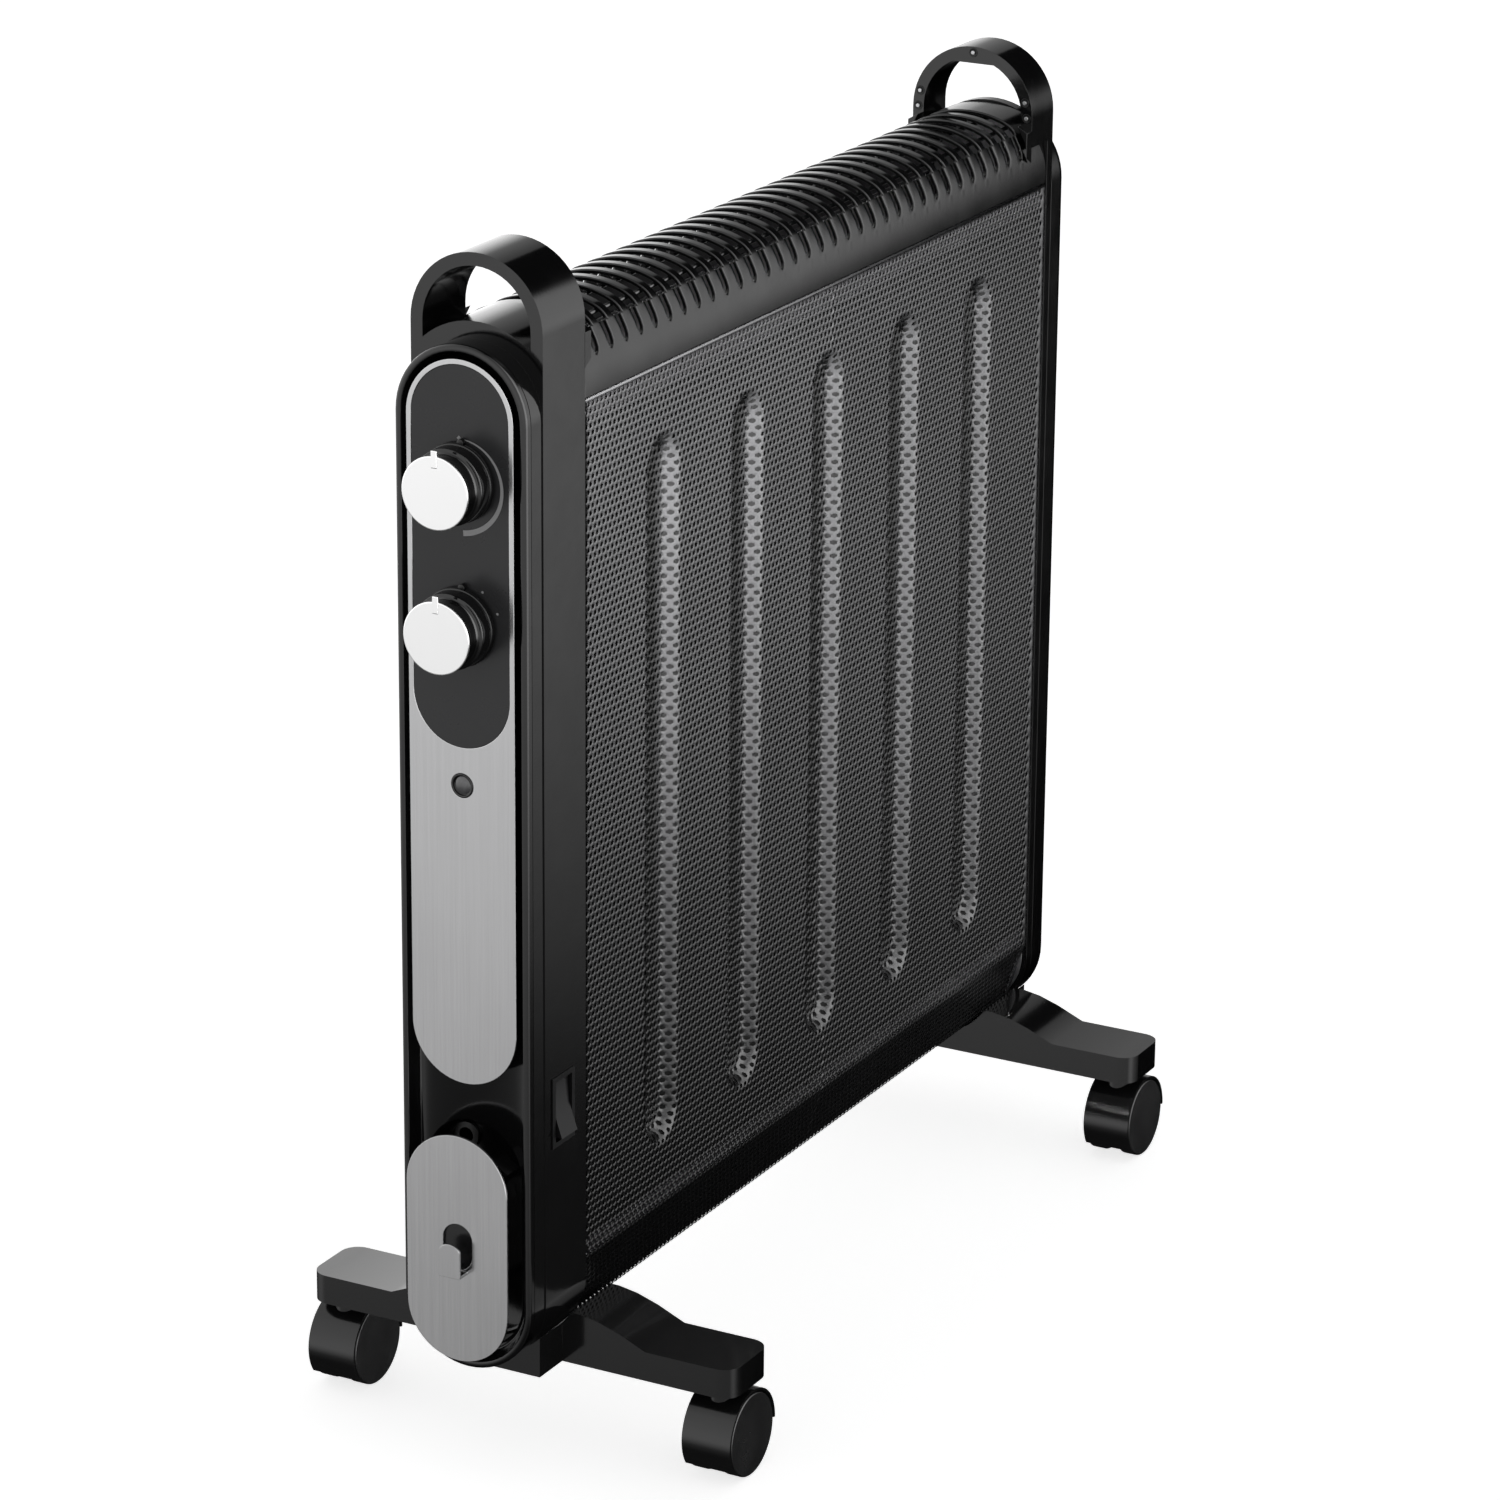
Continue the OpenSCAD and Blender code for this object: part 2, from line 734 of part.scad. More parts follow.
control_frame();
control_cover();
control_plate();
dial_inlay();
knob(thermostat_z);  // thermostat_knob
knob_cap(thermostat_z);  // thermostat_cap
knob_shaft(thermostat_z);  // thermostat_shaft
control_body(thermostat_z, 15, 17, 24);  // thermostat_body
knob(selector_z);  // selector_knob
knob_cap(selector_z);  // selector_cap
knob_shaft(selector_z);  // selector_shaft
control_body(selector_z, 14, 20, 22);  // selector_body
indicator_lens();
neon_lamp();
rocker_housing();
rocker_button();
thermal_cutout();
tip_over_switch();
terminal_block();
wiring_loom();
cord_gland();
winder_drum();
winder_plate();
far_frame();
far_cover();
panel();  // front_panel
mirror([0, 1, 0]) panel();  // rear_panel
top_grille();
element(-19.2);  // front_element
element(18);  // rear_element
reflector_sheet();
rail(550, true);  // upper_rail
rail(107, false);  // lower_rail
bulkhead(x_bulkhead0);  // control_bulkhead
bulkhead(x_bulkhead1);  // far_bulkhead
foot(control_foot_x, -1);  // control_foot
foot(far_foot_x, 1);  // far_foot
handle_screws();
foot_screws();
bulkhead_screws();
at_castor(control_foot_x, -1) castor_hood();  // castor_fl_hood
at_castor(control_foot_x, -1) castor_stem();  // castor_fl_stem
at_castor(control_foot_x, -1) castor_axle();  // castor_fl_axle
at_castor(control_foot_x, -1) castor_wheels();  // castor_fl_wheels
at_castor(control_foot_x, 1) castor_hood();  // castor_rl_hood
at_castor(control_foot_x, 1) castor_stem();  // castor_rl_stem
at_castor(control_foot_x, 1) castor_axle();  // castor_rl_axle
at_castor(control_foot_x, 1) castor_wheels();  // castor_rl_wheels
at_castor(far_foot_x, -1) castor_hood();  // castor_fr_hood
at_castor(far_foot_x, -1) castor_stem();  // castor_fr_stem
at_castor(far_foot_x, -1) castor_axle();  // castor_fr_axle
at_castor(far_foot_x, -1) castor_wheels();  // castor_fr_wheels
at_castor(far_foot_x, 1) castor_hood();  // castor_rr_hood
at_castor(far_foot_x, 1) castor_stem();  // castor_rr_stem
at_castor(far_foot_x, 1) castor_axle();  // castor_rr_axle
at_castor(far_foot_x, 1) castor_wheels();  // castor_rr_wheels
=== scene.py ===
import json
import math

import bmesh
import bpy
import numpy as np
from mathutils import Matrix, Vector, geometry

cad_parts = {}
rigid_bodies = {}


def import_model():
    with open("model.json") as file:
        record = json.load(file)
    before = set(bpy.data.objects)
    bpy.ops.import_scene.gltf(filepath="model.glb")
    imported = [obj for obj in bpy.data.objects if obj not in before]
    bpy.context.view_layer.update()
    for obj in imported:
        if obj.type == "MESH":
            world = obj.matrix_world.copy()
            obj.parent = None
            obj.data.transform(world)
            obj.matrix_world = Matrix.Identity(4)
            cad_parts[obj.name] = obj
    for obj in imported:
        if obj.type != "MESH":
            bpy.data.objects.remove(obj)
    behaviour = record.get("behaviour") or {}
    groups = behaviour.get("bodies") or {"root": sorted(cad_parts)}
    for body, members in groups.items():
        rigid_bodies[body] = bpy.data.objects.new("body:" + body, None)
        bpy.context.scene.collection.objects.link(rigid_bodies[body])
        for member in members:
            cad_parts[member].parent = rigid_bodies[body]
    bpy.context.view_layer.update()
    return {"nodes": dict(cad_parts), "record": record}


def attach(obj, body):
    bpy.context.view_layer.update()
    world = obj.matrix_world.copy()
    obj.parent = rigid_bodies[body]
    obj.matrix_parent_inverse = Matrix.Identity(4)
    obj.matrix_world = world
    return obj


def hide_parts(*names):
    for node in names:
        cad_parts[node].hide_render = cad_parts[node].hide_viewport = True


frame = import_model()
MM = 0.001

# Colour sockets of a Mix node
MIX_A = 6
MIX_B = 7
MIX_RESULT = 2

# Sizes in millimetres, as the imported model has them
X_KNOB = -312.0
X_RIM = -287.4
X_PARTING = -283.0
X_TRAY = -279.4
X_BAY = -261.9
X_PANEL_0 = -230.9
X_PANEL_1 = 288.0
X_FAR_RING = 267.0
X_FAR_COVER = 294.5
X_END = 312.0
BODY_R = 37.0
LOW_Z = 97.5
COVER_Z = 561.0
RING_Z = 603.0
RING_INNER_R = 30.3
SCREW_ANGLES = (0, 15, 90, 165, 180)
BAY_TOP_Z = 166.0
DIALS_Z = (530.0, 457.0)
LENS_Z = 374.5
GLAND_Y = 14.0
GLAND_Z = 177.0
GLAND_R = 6.0
SHAFT_HOLE_R = 4.7
LENS_HOLE_R = 5.9
SHELL_WALL = 2.5
PANEL_TOP_Z = 562.0
GROOVES_X = [26.55 + 89.0 * i for i in range(-2, 3)]
SLOTS_X = [X_PANEL_0 + 15.6 + 14.8 * i for i in range(33)]

# Printed marks on the dial inlay
X_MARK = -287.84
MARK_THICK = 0.07
SCALE_DROP = 1.6
DOT_CIRCLE_R = 22.6
DOT_ANGLES = (33.0, 66.0)


# ---------------------------------------------------------------- materials

def tree_of(name):
    """A new node material, its node tree and its Principled shader."""
    mat = bpy.data.materials.new(name)
    mat.use_nodes = True
    tree = mat.node_tree
    return mat, tree, tree.nodes["Principled BSDF"]


def place(tree, stretch=(1.0, 1.0, 1.0)):
    """Object coordinates, stretched along each axis."""
    where = tree.nodes.new("ShaderNodeTexCoord")
    scale = tree.nodes.new("ShaderNodeMapping")
    scale.inputs["Scale"].default_value = stretch
    tree.links.new(where.outputs["Object"], scale.inputs["Vector"])
    return scale.outputs["Vector"]


def noise(tree, vector, scale, detail=3.0, rough=0.55):
    """Smooth noise at a point, from 0 to 1."""
    node = tree.nodes.new("ShaderNodeTexNoise")
    node.inputs["Scale"].default_value = scale
    node.inputs["Detail"].default_value = detail
    node.inputs["Roughness"].default_value = rough
    tree.links.new(vector, node.inputs["Vector"])
    return node.outputs["Fac"]


def ramp(tree, value, low, high, start=0.3, end=0.7):
    """A colour ramp from one colour to another."""
    node = tree.nodes.new("ShaderNodeValToRGB")
    node.color_ramp.elements[0].position = start
    node.color_ramp.elements[1].position = end
    node.color_ramp.elements[0].color = (*low, 1.0)
    node.color_ramp.elements[1].color = (*high, 1.0)
    tree.links.new(value, node.inputs["Fac"])
    return node.outputs["Color"]


def spread(tree, value, low, high):
    """Maps a noise value to a range."""
    node = tree.nodes.new("ShaderNodeMapRange")
    node.inputs["From Min"].default_value = 0.3
    node.inputs["From Max"].default_value = 0.7
    node.inputs["To Min"].default_value = low
    node.inputs["To Max"].default_value = high
    tree.links.new(value, node.inputs["Value"])
    return node.outputs["Result"]


def bump(tree, height, strength, distance, normal=None):
    """A normal bent by a height, on top of another normal if there is one."""
    node = tree.nodes.new("ShaderNodeBump")
    node.inputs["Strength"].default_value = strength
    node.inputs["Distance"].default_value = distance
    tree.links.new(height, node.inputs["Height"])
    if normal is not None:
        tree.links.new(normal, node.inputs["Normal"])
    return node.outputs["Normal"]


def plastic(name, dark, light, rough=(0.2, 0.3), spec=0.4, grain=900.0, depth=0.00004, strength=0.25):
    """Moulded plastic: slow tone change, fine skin texture and faint handling marks."""
    mat, tree, shader = tree_of(name)
    here = place(tree)
    slow = noise(tree, here, 9.0, 4.0)
    fine = noise(tree, here, grain, 2.0)
    marks = noise(tree, here, 45.0, 4.0, 0.6)
    tree.links.new(ramp(tree, slow, dark, light), shader.inputs["Base Color"])
    tree.links.new(spread(tree, marks, *rough), shader.inputs["Roughness"])
    skin = bump(tree, fine, strength, depth)
    tree.links.new(bump(tree, slow, 0.15, 0.0006, skin), shader.inputs["Normal"])
    shader.inputs["Specular IOR Level"].default_value = spec
    return mat


def brushed(name, dark, light, rough, stretch, strength=0.12):
    """Brushed or plated metal with streaks along its long axis."""
    mat, tree, shader = tree_of(name)
    streaks = noise(tree, place(tree, stretch), 1.0, 6.0, 0.75)
    cloud = noise(tree, place(tree), 14.0, 3.0)
    both = tree.nodes.new("ShaderNodeMix")
    both.inputs["Factor"].default_value = 0.35
    tree.links.new(streaks, both.inputs["A"])
    tree.links.new(cloud, both.inputs["B"])
    tree.links.new(ramp(tree, both.outputs["Result"], dark, light), shader.inputs["Base Color"])
    tree.links.new(spread(tree, streaks, *rough), shader.inputs["Roughness"])
    tree.links.new(bump(tree, streaks, strength, 0.00005), shader.inputs["Normal"])
    shader.inputs["Metallic"].default_value = 1.0
    return mat


def speckled(name, ground, flake, rough, scale):
    """Pressed board or sealed part with flakes in it."""
    mat, tree, shader = tree_of(name)
    here = place(tree)
    cells = tree.nodes.new("ShaderNodeTexVoronoi")
    cells.inputs["Scale"].default_value = scale
    tree.links.new(here, cells.inputs["Vector"])
    cloud = noise(tree, here, scale * 0.2, 4.0)
    both = tree.nodes.new("ShaderNodeMix")
    both.inputs["Factor"].default_value = 0.5
    tree.links.new(cells.outputs["Distance"], both.inputs["A"])
    tree.links.new(cloud, both.inputs["B"])
    tree.links.new(ramp(tree, both.outputs["Result"], flake, ground), shader.inputs["Base Color"])
    tree.links.new(spread(tree, cloud, *rough), shader.inputs["Roughness"])
    tree.links.new(bump(tree, both.outputs["Result"], 0.3, 0.0001), shader.inputs["Normal"])
    shader.inputs["Specular IOR Level"].default_value = 0.3
    return mat


def lens_material(name, colour, glow, rough):
    """Clear-coated lens with a faint cloud between two colours."""
    mat, tree, shader = tree_of(name)
    cloud = noise(tree, place(tree), 400.0, 3.0)
    tree.links.new(ramp(tree, cloud, colour, glow), shader.inputs["Base Color"])
    tree.links.new(spread(tree, cloud, *rough), shader.inputs["Roughness"])
    tree.links.new(bump(tree, cloud, 0.1, 0.00005), shader.inputs["Normal"])
    shader.inputs["Coat Weight"].default_value = 0.6
    return mat


def near_black(level):
    """A black paint or plastic, very slightly blue."""
    return (level, level, level + 0.0005)


VERTICAL = (900.0, 900.0, 9.0)
LENGTHWISE = (9.0, 900.0, 900.0)
materials = {
    "frame_plastic": plastic("frame_plastic", near_black(0.008), near_black(0.011), (0.09, 0.12), 0.5),
    "silver_plate": brushed(
        "silver_plate", (0.46, 0.46, 0.465), (0.53, 0.53, 0.535), (0.20, 0.25), VERTICAL, 0.05),
    "dial_inlay": plastic("dial_inlay", (0.040, 0.040, 0.042), (0.046, 0.046, 0.048), (0.26, 0.32), 0.35),
    "knob_black": plastic("knob_black", near_black(0.009), near_black(0.013), (0.08, 0.11), 0.5),
    "knob_silver": brushed(
        "knob_silver", (0.84, 0.84, 0.84), (0.88, 0.88, 0.88), (0.22, 0.27), VERTICAL, 0.02),
    "perforated_steel": plastic(
        "perforated_steel", near_black(0.015), near_black(0.019), (0.13, 0.17), 0.5, 1600.0, 0.00006, 0.2),
    # Near-black matt sheet behind the perforated panels: painted shade in the holes
    "panel_liner": plastic("panel_liner", (0.003, 0.003, 0.003), (0.005, 0.005, 0.005), (0.8, 0.9), 0.1),
    "grille_plastic": plastic("grille_plastic", near_black(0.008), near_black(0.011), (0.12, 0.16), 0.5),
    "mica_board": speckled("mica_board", (0.16, 0.12, 0.07), (0.26, 0.21, 0.13), (0.5, 0.7), 260.0),
    "bare_steel": brushed("bare_steel", (0.42, 0.42, 0.43), (0.60, 0.60, 0.61), (0.28, 0.42), LENGTHWISE),
    "switch_plastic": speckled(
        "switch_plastic", (0.66, 0.62, 0.52), (0.72, 0.69, 0.60), (0.4, 0.55), 900.0),
    "lens_smoke": lens_material("lens_smoke", (0.10, 0.10, 0.105), (0.16, 0.16, 0.165), (0.10, 0.20)),
    "lamp_amber": lens_material("lamp_amber", (0.70, 0.20, 0.05), (0.85, 0.32, 0.10), (0.15, 0.25)),
    "wire_insulation": speckled(
        "wire_insulation", (0.30, 0.05, 0.04), (0.36, 0.08, 0.06), (0.45, 0.6), 1500.0),
    "winder_plastic": plastic("winder_plastic", near_black(0.009), near_black(0.013), (0.20, 0.26), 0.45),
    "rocker_plastic": plastic("rocker_plastic", near_black(0.008), near_black(0.011), (0.30, 0.38), 0.15),
    "foot_plastic": plastic("foot_plastic", near_black(0.008), near_black(0.011), (0.10, 0.13), 0.5),
    "castor_plastic": plastic("castor_plastic", near_black(0.009), near_black(0.013), (0.14, 0.18), 0.5),
    "wheel_plastic": plastic("wheel_plastic", near_black(0.011), near_black(0.015), (0.22, 0.28), 0.5),
}
marks_material = plastic("dial_marks", (0.50, 0.50, 0.505), (0.58, 0.58, 0.585), (0.4, 0.5))
# Near-black for the index lugs and, in the screw cups, painted shade of screw recesses
index_and_shade_material = plastic("index_dots", (0.004, 0.004, 0.004), (0.007, 0.007, 0.007), (0.3, 0.4))
slot_of = {s["node"]: s["material_slot"] for s in frame["record"]["subparts"]}
body_of_node = {n: b for b, group in frame["record"]["behaviour"]["bodies"].items() for n in group}


# ---------------------------------------------------------------- mesh tools

class Shell:
    """Collects rings of points and the faces between them, in millimetres."""

    def __init__(self):
        self.points = []
        self.faces = []

    def ring(self, points):
        start = len(self.points)
        self.points.extend(points)
        return list(range(start, len(self.points)))

    def bridge(self, a, b):
        """Quads between two closed rings of one length."""
        n = len(a)
        for i in range(n):
            j = (i + 1) % n
            self.faces.append((a[i], a[j], b[j], b[i]))

    def loft(self, rings):
        made = [self.ring(r) for r in rings]
        for a, b in zip(made, made[1:]):
            self.bridge(a, b)
        return made

    def fill(self, outer, holes=()):
        """Fills a flat ring, round its holes."""
        loops = [outer, *holes]
        order = [i for loop in loops for i in loop]
        for tri in geometry.tessellate_polygon([[Vector(self.points[i]) for i in loop] for loop in loops]):
            self.faces.append(tuple(order[i] for i in tri))

    def piece(self, name, sharp=32.0):
        mesh = bpy.data.meshes.new(name)
        mesh.from_pydata([[c * MM for c in p] for p in self.points], [], self.faces)
        clean(mesh)
        smooth(mesh, sharp)
        obj = bpy.data.objects.new(name, mesh)
        bpy.context.scene.collection.objects.link(obj)
        return obj


def clean(mesh, distance=1e-6):
    """Joins points that meet and turns the faces outwards."""
    work = bmesh.new()
    work.from_mesh(mesh)
    bmesh.ops.remove_doubles(work, verts=work.verts, dist=distance)
    bmesh.ops.recalc_face_normals(work, faces=work.faces)
    work.to_mesh(mesh)
    work.free()


def smooth(mesh, sharp):
    """Smooth shading, with edges sharper than an angle in degrees kept."""
    mesh.shade_smooth()
    mesh.set_sharp_from_angle(angle=math.radians(sharp))


def give(obj, node):
    """Hands a piece the body, slot and material of the CAD node that it replaces."""
    slot = slot_of[node]
    obj.data.materials.clear()
    obj.data.materials.append(materials[slot])
    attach(obj, body_of_node[node])
    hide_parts(node)
    return obj


def trim(obj, body, slot, material=None):
    """Hands an added detail its body, slot and material."""
    obj.data.materials.clear()
    obj.data.materials.append(material or materials[slot])
    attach(obj, body)
    return obj


def bevelled(obj, width, segments=3, angle=28.0):
    """Rounds the edges sharper than an angle."""
    soft = obj.modifiers.new("soft_edges", "BEVEL")
    soft.width = width * MM
    soft.segments = segments
    soft.limit_method = "ANGLE"
    soft.angle_limit = math.radians(angle)
    soft.use_clamp_overlap = True
    soft.harden_normals = False
    even = obj.modifiers.new("even_normals", "WEIGHTED_NORMAL")
    even.keep_sharp = True
    return obj


def detail_copy(node, width, segments=3, angle=28.0):
    """A copy of a CAD node's shape with softened edges, which stands for it."""
    mesh = frame["nodes"][node].data.copy()
    mesh.name = node + "_shape"
    work = bmesh.new()
    work.from_mesh(mesh)
    bmesh.ops.remove_doubles(work, verts=work.verts, dist=2e-6)
    bmesh.ops.dissolve_limit(
        work, angle_limit=math.radians(0.8), verts=work.verts, edges=work.edges,
        use_dissolve_boundaries=False)
    work.to_mesh(mesh)
    work.free()
    mesh.shade_smooth()
    obj = bpy.data.objects.new(node + "_shape", mesh)
    bpy.context.scene.collection.objects.link(obj)
    bevelled(obj, width, segments, angle)
    return give(obj, node)


def stadium(x, r, z0, z1, n=28):
    """Ring with round ends in the Y-Z plane at x."""
    top = [(x, r * math.cos(math.pi * i / n), z1 + r * math.sin(math.pi * i / n)) for i in range(n + 1)]
    low = [(x, -r * math.cos(math.pi * i / n), z0 - r * math.sin(math.pi * i / n)) for i in range(n + 1)]
    return top + low


def circle_x(x, r, y, z, n=48):
    """Ring of radius r in the Y-Z plane at x, about (y, z)."""
    turns = [2 * math.pi * i / n for i in range(n)]
    return [(x, y + r * math.cos(a), z + r * math.sin(a)) for a in turns]


def fillet(corner, start, end, steps=5):
    """Points of a quarter round from start to end about a corner, in (x, r)."""
    out = []
    for i in range(steps + 1):
        t = i / steps
        first, middle, last = (1 - t) ** 2, 2 * t * (1 - t), t * t
        out.append(tuple(first * s + middle * c + last * e for s, c, e in zip(start, corner, end)))
    return out


def revolved_x(name, profile, y, z, n=96, sharp=32.0):
    """A turned piece about an axis along X, from (x, r) points."""
    shell = Shell()
    rings = shell.loft([circle_x(x, max(r, 0.02), y, z, n) for x, r in profile])
    shell.fill(rings[0])
    shell.fill(rings[-1])
    return shell.piece(name, sharp)


# ---------------------------------------------------------------- control end

def control_cover():
    """Rim, sloped tray and the deep cord bay, with a back skin."""
    shell = Shell()
    front = [(X_PARTING, BODY_R), (X_RIM + 2.2, BODY_R)]
    front += fillet((X_RIM, BODY_R), (X_RIM + 2.0, BODY_R), (X_RIM, BODY_R - 2.0))
    front += fillet((X_RIM, 33.4), (X_RIM, 33.9), (X_RIM + 0.6, 33.3), 3)
    front += [(X_TRAY - 2.2, 31.0)]
    front += fillet((X_TRAY, 30.0), (X_TRAY - 1.6, 30.7), (X_TRAY, 28.9), 4)
    rings = shell.loft([stadium(x, r, LOW_Z, COVER_Z) for x, r in front])
    bay = fillet((X_TRAY, 27.5), (X_TRAY, 28.2), (X_TRAY + 0.9, 27.5), 3)
    bay += fillet((X_BAY, 27.2), (X_BAY - 2.0, 27.25), (X_BAY, 25.2), 4)
    bay_rings = shell.loft([stadium(x, r, LOW_Z, BAY_TOP_Z) for x, r in bay])
    holes = [shell.ring(circle_x(X_TRAY, SHAFT_HOLE_R, 0, z)) for z in DIALS_Z]
    holes.append(shell.ring(circle_x(X_TRAY, LENS_HOLE_R, 0, LENS_Z)))
    shell.fill(rings[-1], [bay_rings[0], *holes])
    gland = shell.ring(circle_x(X_BAY, GLAND_R, GLAND_Y, GLAND_Z))
    shell.fill(bay_rings[-1], [gland])
    back_x = X_TRAY + SHELL_WALL
    bay_back_x = X_BAY + SHELL_WALL
    back = [(X_PARTING, BODY_R), (X_PARTING, 33.8), (back_x, 33.8)]
    back_rings = shell.loft([stadium(x, r, LOW_Z, COVER_Z) for x, r in back])
    bay_back = shell.loft([stadium(x, 29.3, LOW_Z, BAY_TOP_Z) for x in (back_x, bay_back_x)])
    back_holes = [shell.ring(circle_x(back_x, SHAFT_HOLE_R, 0, z)) for z in DIALS_Z]
    back_holes.append(shell.ring(circle_x(back_x, LENS_HOLE_R, 0, LENS_Z)))
    shell.fill(back_rings[-1], [bay_back[0], *back_holes])
    gland_back = shell.ring(circle_x(bay_back_x, GLAND_R, GLAND_Y, GLAND_Z))
    shell.fill(bay_back[-1], [gland_back])
    for a, b in zip([*holes, gland], [*back_holes, gland_back]):
        shell.bridge(a, b)
    return give(shell.piece("control_cover_shape"), "control_cover")


def knob(z, prefix):
    """Turned knob body with a hollowed waist, a ledge, a skirt and a shadow groove."""
    profile = [(X_KNOB + 1.5, 12.0), (X_KNOB + 1.5, 17.6)]
    profile += fillet((X_KNOB + 1.6, 18.3), (X_KNOB + 1.6, 17.9), (X_KNOB + 2.2, 18.2), 3)
    profile += [(-308.5, 17.9), (-306.0, 17.3)]
    profile += fillet((-300.2, 16.4), (-303.4, 16.9), (-299.9, 18.6), 10)
    profile += fillet((-299.8, 19.3), (-299.8, 18.9), (-299.2, 19.35), 3)
    profile += [(-296.0, 19.4), (-293.2, 19.5), (-292.6, 19.1)]
    profile += fillet((-292.0, 19.0), (-292.4, 19.0), (-292.0, 19.4), 2)
    profile += fillet((-291.8, 20.0), (-291.9, 19.7), (-291.2, 20.0), 3)
    profile += [(-289.2, 20.0), (-288.8, 19.6), (-288.8, 15.4), (-298.0, 15.2), (-298.0, 3.1)]
    obj = revolved_x(prefix + "_knob_shape", profile, 0.0, z, 128, 28.0)
    return give(obj, prefix + "_knob")


def knob_cap(z, prefix):
    """Silver disc with a raised pointer, which runs out over its edge."""
    face = X_KNOB + 0.5
    profile = [(X_KNOB + 1.5, 18.5), (face + 0.5, 18.5)]
    profile += fillet((face, 18.5), (face + 0.5, 18.5), (face, 18.0), 3)
    profile += [(face, 17.7), (face, 17.2)]
    disc = revolved_x(prefix + "_cap_shape", profile, 0.0, z, 128, 28.0)
    give(disc, prefix + "_cap")
    shell = Shell()
    pointer = [(-1.6, 12.6), (1.6, 12.6), (1.6, 21.4), (-1.6, 21.4)]
    rings = shell.loft([[(x, y, z + up) for y, up in pointer] for x in (X_KNOB + 1.4, X_KNOB)])
    shell.fill(rings[0])
    shell.fill(rings[1])
    nib = bevelled(shell.piece(prefix + "_pointer"), 0.35, 3)
    give(nib, prefix + "_cap")


def arc_mark(name, z, inner, outer_start, outer_end, a0, a1):
    """A thin raised arc that grows from one width to another, clockwise from a0."""
    shell = Shell()
    n = 64
    low, high = [], []
    for i in range(n + 1):
        t = i / n
        a = math.radians(a0 + (a1 - a0) * t)
        outer = outer_start + (outer_end - outer_start) * t
        low.append((X_MARK, -inner * math.sin(a), z + inner * math.cos(a)))
        high.append((X_MARK, -outer * math.sin(a), z + outer * math.cos(a)))
    front = shell.ring(low + high[::-1])
    back = shell.ring([(px + MARK_THICK, py, pz) for px, py, pz in low + high[::-1]])
    shell.bridge(front, back)
    shell.fill(front)
    shell.fill(back)
    return trim(shell.piece(name), "root", "dial_inlay", marks_material)


def dot_mark(name, y, z, r, sides=24):
    """A thin raised dot, or a diamond when it has four sides."""
    shell = Shell()
    for ring in shell.loft([circle_x(x, r, y, z, sides) for x in (X_MARK, X_MARK + MARK_THICK)]):
        shell.fill(ring)
    return trim(shell.piece(name), "root", "dial_inlay", marks_material)


def index_dot(prefix, z):
    """A round black lug on the skirt's upper edge, which turns with the knob."""
    profile = [(-291.0, 1.4), (-290.8, 1.8), (-288.7, 1.9), (-288.4, 1.6)]
    obj = revolved_x(prefix + "_index", profile, -2.0, z + 20.3, 32)
    return trim(obj, prefix, "knob_black", index_and_shade_material)


def lens():
    """Dark ring, a painted shade of the lens hole, with a domed grey window in it."""
    profile = [(-286.2, 6.2), (-287.9, 6.2)]
    profile += fillet((-288.5, 6.1), (-288.1, 6.15), (-288.45, 5.6), 3)
    profile += [(-288.3, 5.1), (-287.3, 4.9), (-287.2, 4.6)]
    # The dark ring paints the shade in the lens hole round the window
    ring = revolved_x("indicator_ring", profile + [(-286.2, 4.5)], 0.0, LENS_Z, 64)
    trim(ring, "root", "lens_smoke", materials["knob_black"])
    dome = [(-276.0, 5.6), (-286.9, 5.6), (-286.9, 4.85), (-287.35, 4.6), (-287.6, 3.8), (-287.8, 2.6)]
    dome += [(-287.9, 1.3), (-287.95, 0.0)]
    window = revolved_x("indicator_window", dome, 0.0, LENS_Z, 64, 40.0)
    return give(window, "indicator_lens")


control_cover()
detail_copy("control_frame", 0.7)
detail_copy("control_plate", 0.3, 2)
detail_copy("dial_inlay", 0.15, 2)
for prefix, dial_z in zip(("thermostat", "selector"), DIALS_Z):
    knob(dial_z, prefix)
    knob_cap(dial_z, prefix)
    detail_copy(prefix + "_shaft", 0.3, 2)
    detail_copy(prefix + "_body", 0.4, 2)
    index_dot(prefix, dial_z)
arc_mark("thermostat_scale", DIALS_Z[0] - SCALE_DROP, 22.7, 23.2, 25.6, 0.0, 176.0)
dot_mark("thermostat_low", 0.3, DIALS_Z[0] + 21.8, 1.3, 4)
for i, angle in enumerate(DOT_ANGLES):
    a = math.radians(angle)
    dot_mark(f"selector_dot_{i}", -DOT_CIRCLE_R * math.sin(a), DIALS_Z[1] + DOT_CIRCLE_R * math.cos(a), 0.65)
lens()
detail_copy("neon_lamp", 0.5, 3)
detail_copy("rocker_housing", 0.5, 3)
detail_copy("rocker_button", 0.5, 3)


# ---------------------------------------------------------------- winder and far end

detail_copy("cord_gland", 0.5, 3)
detail_copy("winder_drum", 0.6, 3)
detail_copy("winder_plate", 0.4, 3)
detail_copy("far_frame", 0.7)


def far_cover():
    """Plain end shell with a broad round edge."""
    shell = Shell()
    profile = [(X_FAR_COVER, 33.0), (X_FAR_COVER, BODY_R - 0.4), (X_FAR_COVER + 0.4, BODY_R)]
    profile += [(305.5, BODY_R)]
    profile += fillet((X_END, BODY_R), (306.0, BODY_R), (X_END, 31.0), 8)
    rings = shell.loft([stadium(x, r, LOW_Z, COVER_Z) for x, r in profile])
    shell.fill(rings[-1])
    inner = shell.loft([stadium(x, 33.0, LOW_Z, COVER_Z) for x in (X_FAR_COVER, 308.5)])
    shell.fill(inner[-1])
    return give(shell.piece("far_cover_shape", 40.0), "far_cover")


far_cover()


# ---------------------------------------------------------------- panels

